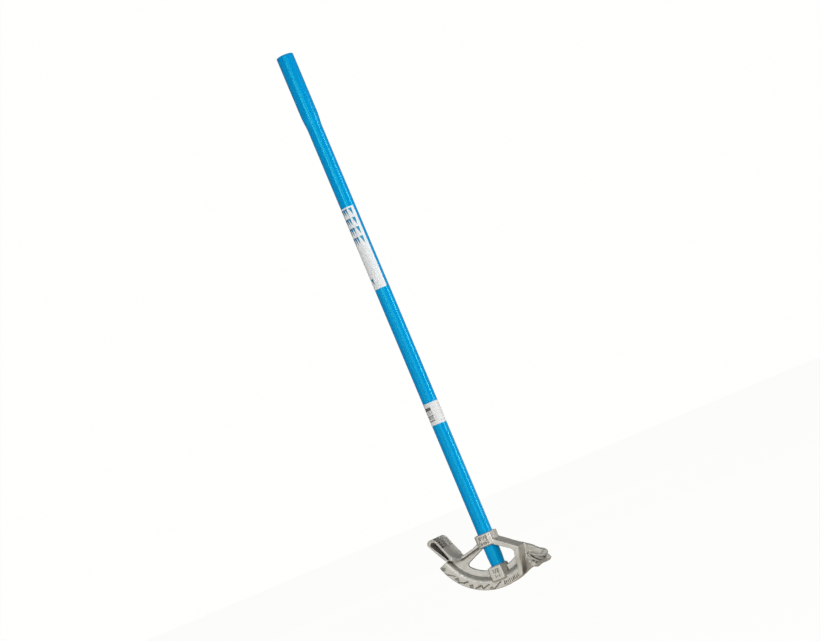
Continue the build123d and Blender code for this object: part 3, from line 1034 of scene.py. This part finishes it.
def instruction_print():
    """White sheet: four rows of blue pennants, a block of pale grey lines and one blue pennant."""
    n = Nodes("instruction_print")
    across, down = n.value("print_across"), n.value("print_down")
    first_row, row_pitch, last_height = 2.6, 17.4, 14.2
    from_row = n.maths("MODULO", n.minus(down, first_row), row_pitch)
    leaning = n.minus(across, n.times(from_row, 0.14))
    row = [(14.4, 2.3, 14.4), (18.9, 2.3, 14.4), (23.3, 2.2, 14.0), (31.3, 3.0, 14.6)]
    pennants = n.fold("MAXIMUM", [pennant(n, leaning, from_row, *size) for size in row])
    rows = inside_box(n, across, down, 3.0, 36.0, first_row, first_row + 3 * row_pitch + last_height)
    single_top = 131.0
    from_single = n.minus(down, single_top)
    single = pennant(n, n.minus(across, n.times(from_single, 0.2)), from_single, 17.2, 2.8, 12.8)
    single = n.times(single, inside_box(n, across, down, 9.0, 24.0, single_top, 143.0))
    blue_share = n.maths("MAXIMUM", n.times(pennants, rows), single)
    line_pitch = 1.9
    from_line = n.minus(n.maths("MODULO", down, line_pitch), line_pitch / 2)
    gap = n.between(n.maths("ABSOLUTE", from_line), 0.42, 0.62)
    broken = n.between(n.noise(n.place(0.9, 0.9, 0.55), 1.0, 1.0), 0.42, 0.5)
    text_block = inside_box(n, across, down, 12.0, 30.0, 76.0, 126.0, 0.3)
    lines = n.times(n.minus(1.0, gap), broken, text_block)
    frame_line = inside_box(n, across, down, 33.6, 33.9, 74.0, 144.0)
    colour = n.mix(n.times(lines, 0.2), (0.91, 0.95, 0.97, 1), (0.42, 0.50, 0.55, 1))
    colour = n.mix(n.times(frame_line, 0.3), colour, (0.45, 0.5, 0.55, 1))
    ink = n.mix(n.between(across, 12.0, 30.0), (0.0, 0.15, 0.36, 1), (0.01, 0.33, 0.56, 1))
    colour = n.mix(blue_share, colour, ink)
    return n.surface(Base_Color=colour, Roughness=0.5)


def barcode_print():
    """White sheet with a ladder of grey bars and a few faint dashes."""
    n = Nodes("barcode_print")
    across, down = n.value("print_across"), n.value("print_down")
    left, right = 7.6, 20.8
    ladder = [(7.4, 13.2, 0.95), (14.4, 15.4, 0.6), (16.6, 17.7, 0.65), (18.9, 20.0, 0.5), (21.6, 24.0, 0.8),
              (24.8, 26.4, 0.75), (27.2, 28.2, 0.7), (30.2, 32.4, 0.85)]
    dashes = [(28.6, 31.2, 3.8, 4.8), (33.0, 35.0, 3.8, 4.7), (37.0, 38.0, 9.0, 13.0),
              (32.0, 36.5, 16.2, 17.2), (29.5, 33.0, 34.0, 35.4), (35.0, 40.0, 34.6, 36.0)]
    marks = [(left, right, top, bottom, 0.18, ink) for top, bottom, ink in ladder]
    marks += [(*dash, 0.3, 0.3) for dash in dashes]
    bars = n.fold("MAXIMUM", [n.times(inside_box(n, across, down, *room), ink) for *room, ink in marks])
    colour = n.mix(bars, (0.84, 0.87, 0.88, 1), (0.10, 0.105, 0.10, 1))
    return n.surface(Base_Color=colour, Roughness=0.55)


# ---- Studio

def glowing(name, colour):
    """Flat pale material for what isn't part of the object."""
    return Nodes(name).surface(
        Base_Color=(0.02, 0.02, 0.02, 1), Roughness=1.0, Specular_IOR_Level=0.0,
        Emission_Color=(*colour, 1), Emission_Strength=1.0,
    )


def stage_piece(name, places, faces, material):
    """Floor or surround: seen by the camera, but throws no light on the object."""
    mesh = bpy.data.meshes.new(name)
    mesh.from_pydata(places, [], faces)
    mesh.materials.append(material)
    piece = added(name, mesh)
    piece.visible_diffuse = piece.visible_glossy = piece.visible_transmission = piece.visible_shadow = False
    return piece


def area_light(name, place, turned, width, tall, tint, radiance):
    """Rectangle of soft light that looks equally bright from near and far."""
    light = bpy.data.lights.new(name, "AREA")
    light.shape = "RECTANGLE"
    light.size, light.size_y = width, tall
    light.color = tint
    light.energy = radiance * pi * width * tall
    lamp = added(name, light)
    lamp.location = place
    lamp.rotation_euler = turned


def studio():
    """Pale floor and surround, a dim room, six soft lights round the object, and a warm glow from below."""
    world = bpy.data.worlds.new("studio")
    bpy.context.scene.world = world
    world.use_nodes = True
    glow = world.node_tree.nodes["Background"].inputs
    glow["Color"].default_value, glow["Strength"].default_value = room_tint, room_light
    turns = np.arange(floor_sides) * 2 * pi / floor_sides
    level = np.full(floor_sides, cad_low.z - floor_gap)
    disc = np.stack([floor_radius * np.cos(turns), floor_radius * np.sin(turns), level], axis=1)
    pale = glowing("pale_floor", floor_shade)
    floor = stage_piece("floor", disc.tolist(), [range(floor_sides)], pale)
    walls = (-far_wall, far_wall)
    corners = [(x, y, z) for x in walls for y in walls for z in (-2, far_wall)]
    sides = [(0, 1, 3, 2), (4, 6, 7, 5), (0, 4, 5, 1), (2, 3, 7, 6), (1, 5, 7, 3), (0, 2, 6, 4)]
    surround = stage_piece("surround", corners, sides, glowing("pale_surround", surround_shade))
    for name, azimuth, distance, height, width, tall, radiance in lights:
        turn = radians(azimuth)
        place = Vector((distance * sin(turn), -distance * cos(turn), height))
        turned = (-place * Vector((1, 1, 0))).to_track_quat("-Z", "Y").to_euler()
        tint = back_tint if name == "back_sheet" else plain_tint
        area_light(name, place, turned, width, tall, tint, radiance)
    area_light("floor_bounce", (0, 0, bounce_height), (pi, 0, 0), bounce_width, bounce_width, bounce_tint,
               bounce_radiance)


def camera():
    """Long lens in front of the head, turned so that the handle leans to the left."""
    place, target = Vector(camera_place) * MM, Vector(camera_target) * MM
    lens = bpy.data.cameras.new("camera")
    lens.lens = camera_lens
    lens.sensor_width = 36.0
    lens.shift_x, lens.shift_y = camera_shift
    lens.clip_start, lens.clip_end = 0.1, 300.0
    holder = added("camera", lens)
    upright = (target - place).to_track_quat("-Z", "Y").to_matrix()
    rolled = upright @ Matrix.Rotation(radians(camera_roll), 3, "Z")
    holder.matrix_world = Matrix.Translation(place) @ rolled.to_4x4()
    bpy.context.scene.camera = holder
    bpy.context.scene.view_settings.view_transform = "Standard"


camera()
studio()
bending_head()
handle()
sticker("instruction_sheet", print_low.z, print_high.z, *sheet_wrap, instruction_print(),
        "instruction_print", "instruction_label")
sticker("barcode_sheet", bars_low.z, bars_high.z, *bars_wrap, barcode_print(),
        "barcode_print", "barcode_label")
